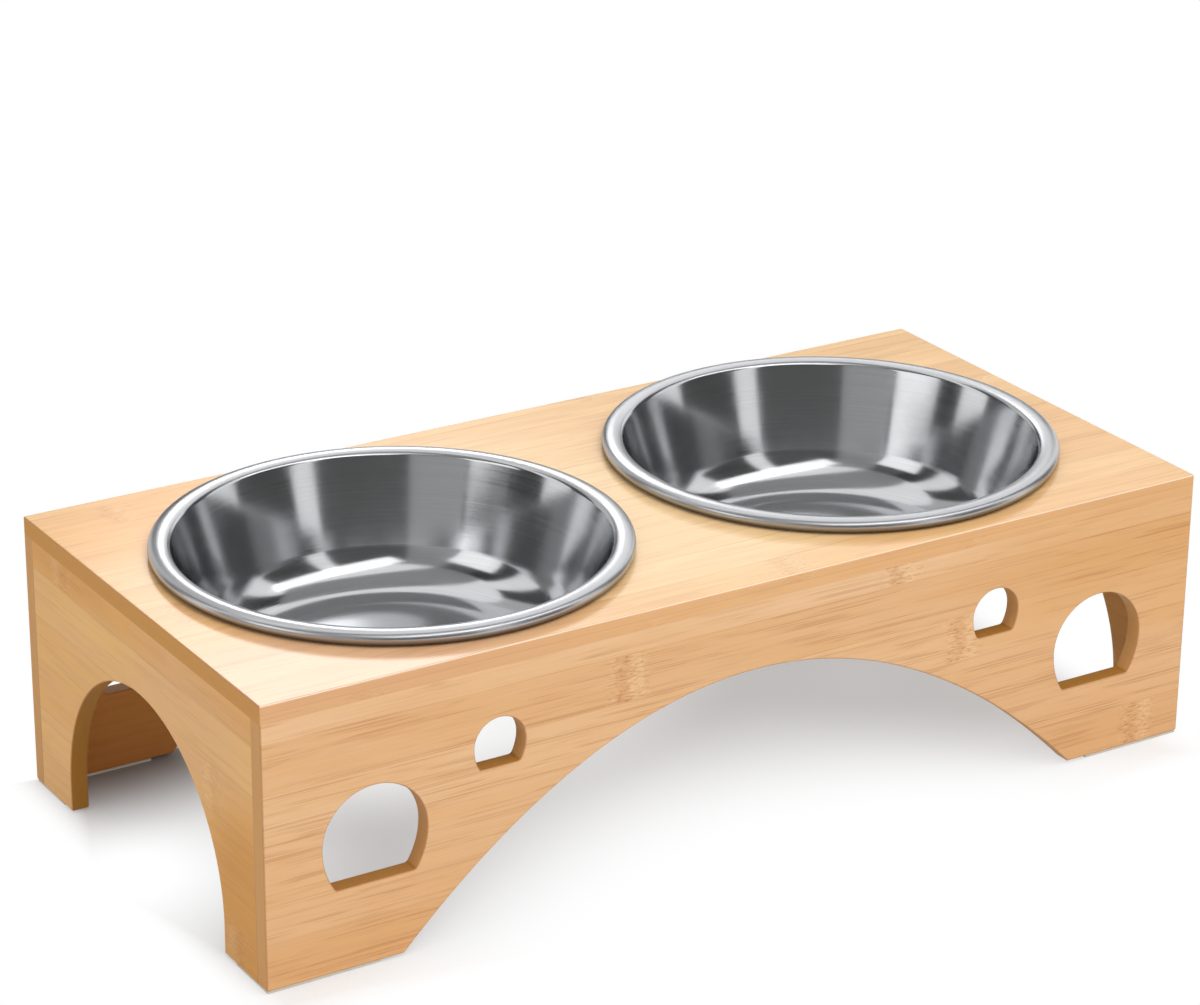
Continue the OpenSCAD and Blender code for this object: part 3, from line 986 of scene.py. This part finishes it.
# Along, across and through directions of the boards, strip lines, tones and knuckle marks in millimetres
BOARD_LOOKS = {
    "top_panel": {
        "axes": (0, 1, 2), "middle": (PANEL_TOP + STAND_TOP) / 2, "inside": -1, "shade": 0.4,
        "strip_start": 3.5, "seed": 3.0,
        # The top panel's tones are paler than the upright boards', partly painted light on the top
        "pale": tone(250, 209, 152), "deep": tone(239, 191, 131), "figure": 0.6,
        "edge": 0, "reveal": 0, "lacquer": TOP_LACQUER,
        "stretches": [
            ((-150, -75, 0), (95, 45, 20), 0.6, ROSY_TONE),
            ((-150, 65, 0), (75, 40, 20), 0.75, ORANGE_TONE),
            ((0, -25, 0), (75, 75, 20), 0.6, PALE_TONE),
        ],
        "knuckles": [
            (-170, 78, 1), (44, 92, 1), (18, -83, 1), (190, 22, 1), (-186, -20, 1),
            (-158, -93, -1), (-47, -93, -1), (95, -93, -1), (60, 40, -1), (-120, 66, -1),
        ],
    },
    "front_panel": {
        "axes": (0, 2, 1), "middle": -(HALF_DEPTH + INNER_HALF_DEPTH) / 2, "inside": 1, "shade": 0.4,
        "strip_start": 19, "seed": 465.0,
        "pale": tone(235, 194, 150), "deep": tone(222, 173, 122), "figure": 1,
        "edge": 1, "reveal": 0, "lacquer": SIDE_LACQUER,
        "stretches": [
            ((185, 84, 0), (100, 40, 20), 0.3, GOLDEN_TONE),
            ((-60, 0, 0), (180, 22, 20), 0.15, GOLDEN_TONE),
        ],
        "knuckles": [
            (-55, 84, -1), (63, 98, -1), (92, 66, -1), (179, 10, -1), (-100, 94, 1), (130, 88, 1),
        ],
    },
    "rear_panel": {
        "axes": (0, 2, 1), "middle": (HALF_DEPTH + INNER_HALF_DEPTH) / 2, "inside": -1, "shade": 0.7,
        "strip_start": 13, "seed": 11.0,
        "pale": tone(235, 192, 143), "deep": tone(222, 172, 117), "figure": 1,
        "edge": 1, "reveal": 0, "lacquer": SIDE_LACQUER,
        "stretches": [((-150, 20, 0), (60, 40, 20), 0.25, GOLDEN_TONE)],
        "knuckles": [
            (-118, 92, 1), (24, 88, 1), (134, 26, 1), (-176, 40, 1), (96, 60, 1),
            (-60, 84, -1), (150, 70, -1),
        ],
    },
    "left_end_panel": {
        "axes": (1, 2, 0), "middle": BOARD / 2 - HALF_LENGTH, "inside": 1, "shade": 0.4,
        "strip_start": 16, "seed": 13965.0,
        "pale": tone(238, 188, 114), "deep": tone(228, 166, 82), "figure": 0.55,
        "edge": 1, "reveal": 1, "lacquer": SIDE_LACQUER,
        "stretches": [
            ((-84, 26, 0), (40, 44, 20), 0.9, GOLDEN_TONE),
            ((66, 102, 0), (60, 12, 20), 0.5, GOLDEN_TONE),
            ((-40, 80, 0), (50, 30, 20), 0.25, ROSY_TONE),
        ],
        "knuckles": [(64, 96, -1), (-57, 66, -1), (-73, 11, -1), (20, 88, 1)],
    },
    "right_end_panel": {
        "axes": (1, 2, 0), "middle": HALF_LENGTH - BOARD / 2, "inside": -1, "shade": 0,
        "strip_start": 16, "seed": 23.0,
        "pale": tone(238, 188, 114), "deep": tone(228, 166, 82), "figure": 0.55,
        "edge": 1, "reveal": 1, "lacquer": SIDE_LACQUER,
        "stretches": [((70, 30, 0), (40, 40, 20), 0.5, GOLDEN_TONE)],
        "knuckles": [(-40, 92, 1), (70, 60, 1), (76, 20, 1), (30, 84, -1)],
    },
}


def dress(piece, material):
    """Gives a piece its material."""
    piece.data.materials.clear()
    piece.data.materials.append(material)


boards = make_boards()
for node, piece in boards.items():
    dress(piece, bamboo_material(piece.name, **BOARD_LOOKS[node]))
    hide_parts(node)
    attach(piece, "stand")

steel = steel_material()
for node, side in (("left_bowl", -1), ("right_bowl", 1)):
    bowl = make_bowl(node + "_spun", side)
    dress(bowl, steel)
    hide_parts(node)
    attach(bowl, node)

raw_dowel = dowel_material()
silicone = pad_material()
for node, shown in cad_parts.items():
    if node.startswith("dowels_"):
        dress(shown, raw_dowel)
    elif node.startswith("pad_"):
        dress(shown, silicone)


# Stage, light and camera

def seen_directly(g):
    """1 for what the camera, metal or glass shows, 0 for the light that reaches other surfaces."""
    path = g.node("ShaderNodeLightPath", {}).outputs
    mirrored = g.math("MAXIMUM", path["Is Glossy Ray"], path["Is Transmission Ray"])
    return g.math("MAXIMUM", path["Is Camera Ray"], mirrored)


def stage_sheet(name, bm):
    """A mesh of the studio itself."""
    mesh = bpy.data.meshes.new(name)
    bm.to_mesh(mesh)
    bm.free()
    sheet = bpy.data.objects.new(name, mesh)
    bpy.context.scene.collection.objects.link(sheet)
    return sheet


def floor_shade(g, point):
    """How white the floor shows at a point and how pale it is there, in the painted shade under the stand.
    """
    x, y, _ = g.split(point)
    left = g.fall(x, -HALF_LENGTH - LEFT_FADE[0], -HALF_LENGTH + LEFT_FADE[1])
    right = g.rise(x, HALF_LENGTH - RIGHT_FADE[1], HALF_LENGTH + RIGHT_FADE[0])
    rear = g.rise(y, HALF_DEPTH - REAR_FADE[1], HALF_DEPTH + REAR_FADE[0])
    front = g.fall(y, -HALF_DEPTH - FRONT_FADE[0], -HALF_DEPTH + FRONT_FADE[1])
    outside = g.math("MAXIMUM", g.math("MAXIMUM", left, right), g.math("MAXIMUM", rear, front))
    # Painted light from the front and painted light patches from the arches lift the floor's white share
    beside = g.math("SUBTRACT", x, FRONT_LIGHT_MIDDLE)
    behind = g.math("MULTIPLY_ADD", g.math("MULTIPLY", beside, beside), FRONT_LIGHT_BEND, y)
    white_share = g.math("MULTIPLY_ADD", g.fall(behind, *FRONT_LIGHT_FADE), 1 - FLOOR_WHITE, FLOOR_WHITE)
    for middle, size, strength, core in (REAR_PATCH, LEFT_PATCH):
        patch = g.spot(point, middle, size, core)
        white_share = g.math("MULTIPLY_ADD", patch, strength, white_share, clamp=True)
    corner_rear = g.rise(y, CORNER_START, HALF_DEPTH + REAR_FADE[0])
    corner_shade = g.math("MULTIPLY", corner_rear, g.fall(x, *CORNER_FADE))
    white_share = g.math("MULTIPLY", white_share, g.math("SUBTRACT", 1, corner_shade))
    white_share = g.math("MAXIMUM", white_share, outside)
    # Painted shade: the floor's tone is darker under the stand and darkest in its rear left corner
    under = g.mix(corner_shade, grey_tone(FLOOR_UNDER), grey_tone(FLOOR_CORNER))
    return white_share, g.mix(outside, under, grey_tone(FLOOR_OPEN))


def make_floor():
    """A wide pale floor that shows white, with a light cast shadow and painted shade under the stand, clear
    from below.
    """
    bm = bmesh.new()
    bmesh.ops.create_grid(bm, x_segments=8, y_segments=8, size=FLOOR_SIZE)
    bmesh.ops.translate(bm, vec=(0, 0, -FLOOR_GAP), verts=bm.verts)
    floor = stage_sheet("studio_floor", bm)
    material = bpy.data.materials.new("white_floor")
    material.use_nodes = True
    g = Graph(material.node_tree)
    shader = material.node_tree.nodes["Principled BSDF"]
    shader.inputs["Roughness"].default_value = FLOOR_ROUGH
    shader.inputs["Specular IOR Level"].default_value = 0
    white = g.node("ShaderNodeEmission", {"Color": WHITE, "Strength": 1}).outputs[0]
    point = g.node("ShaderNodeTexCoord", {}).outputs["Object"]
    white_share, shown = floor_shade(g, point)
    direct = seen_directly(g)
    g.feed(shader.inputs["Base Color"], g.mix(direct, grey_tone(FLOOR_OPEN), shown))
    surface = g.shader_mix(g.math("MULTIPLY", white_share, direct), shader.outputs[0], white)
    from_below = g.node("ShaderNodeNewGeometry", {}).outputs["Backfacing"]
    way = g.node("ShaderNodeLightPath", {}).outputs["Ray Length"]
    passing = g.math("MAXIMUM", from_below, g.math("LESS_THAN", way, FLOOR_CLEAR))
    clear = g.node("ShaderNodeBsdfTransparent", {}).outputs[0]
    surface = g.shader_mix(passing, surface, clear)
    g.feed(material.node_tree.nodes["Material Output"].inputs["Surface"], surface)
    floor.data.materials.append(material)


def make_world():
    """Plain light all round, seen as white by the camera and by metal."""
    world = bpy.data.worlds.new("studio_world")
    bpy.context.scene.world = world
    world.use_nodes = True
    g = Graph(world.node_tree)
    background = world.node_tree.nodes["Background"]
    background.inputs["Color"].default_value = WHITE
    strength = g.math("MULTIPLY_ADD", seen_directly(g), 1 - WORLD_LIGHT, WORLD_LIGHT)
    g.feed(background.inputs["Strength"], strength)


def studio_cloth(name, bm, grey):
    """A sheet of cloth that only reflections show."""
    cloth = stage_sheet(name, bm)
    material = bpy.data.materials.new(name + "_grey")
    material.use_nodes = True
    shader = material.node_tree.nodes["Principled BSDF"]
    shader.inputs["Base Color"].default_value = grey_tone(grey)
    shader.inputs["Roughness"].default_value = 1
    shader.inputs["Specular IOR Level"].default_value = 0
    cloth.data.materials.append(material)
    cloth.visible_camera = False
    cloth.visible_diffuse = False
    cloth.visible_transmission = False
    cloth.visible_volume_scatter = False
    cloth.visible_shadow = False


def make_drapes():
    """Upright drapes of several greys round the studio, and the ceiling cloth."""
    for number, (start, stop, distance, height, grey) in enumerate(DRAPES):
        bm = bmesh.new()
        line = arc((0, 0), distance, math.radians(start), math.radians(stop), DRAPE_STEPS)
        hem = [bm.verts.new((p.x, p.y, DRAPE_HEM)) for p in line]
        rail = [bm.verts.new((p.x, p.y, height)) for p in line]
        for i in range(len(line) - 1):
            bm.faces.new((hem[i], rail[i], rail[i + 1], hem[i + 1]))
        studio_cloth(f"studio_drape_{number}", bm, grey)
    bm = bmesh.new()
    front = [(-CEILING_SIDE, CEILING_FRONT), (CEILING_SIDE, CEILING_FRONT)]
    rear = [(CEILING_SIDE, CEILING_REAR), (-CEILING_SIDE, CEILING_REAR)]
    bm.faces.new([bm.verts.new((x, y, TALL)) for x, y in front + rear])
    studio_cloth("studio_ceiling", bm, CEILING_GREY)


def make_lamp(name, place, size, power, mirrored):
    """A softbox aimed at the stand, which metal and lacquer may mirror or not."""
    data = bpy.data.lights.new(name, "AREA")
    data.shape = "RECTANGLE"
    data.size, data.size_y = size
    data.energy = power
    lamp = bpy.data.objects.new(name, data)
    bpy.context.scene.collection.objects.link(lamp)
    lamp.visible_glossy = mirrored
    lamp.location = place
    aim = Vector(STAND_MIDDLE) - Vector(place)
    lamp.rotation_euler = aim.to_track_quat("-Z", "Y").to_euler()


def make_camera():
    """The photograph's view."""
    data = bpy.data.cameras.new("photo_camera")
    data.sensor_width = CAMERA_SENSOR
    data.lens = CAMERA_LENS
    data.clip_start = CAMERA_NEAR
    camera = bpy.data.objects.new("photo_camera", data)
    bpy.context.scene.collection.objects.link(camera)
    turn = Matrix.Rotation(CAMERA_AZIMUTH, 4, "Z")
    tilt = Matrix.Rotation(math.pi / 2 - CAMERA_ELEVATION, 4, "X")
    roll = Matrix.Rotation(CAMERA_ROLL, 4, "Z")
    camera.matrix_world = Matrix.Translation(CAMERA_PLACE) @ turn @ tilt @ roll
    bpy.context.scene.camera = camera


make_floor()
make_world()
make_drapes()
for lamp_name, lamp_look in LAMPS.items():
    make_lamp(lamp_name, *lamp_look)
make_camera()
bpy.context.scene.view_settings.view_transform = "Standard"
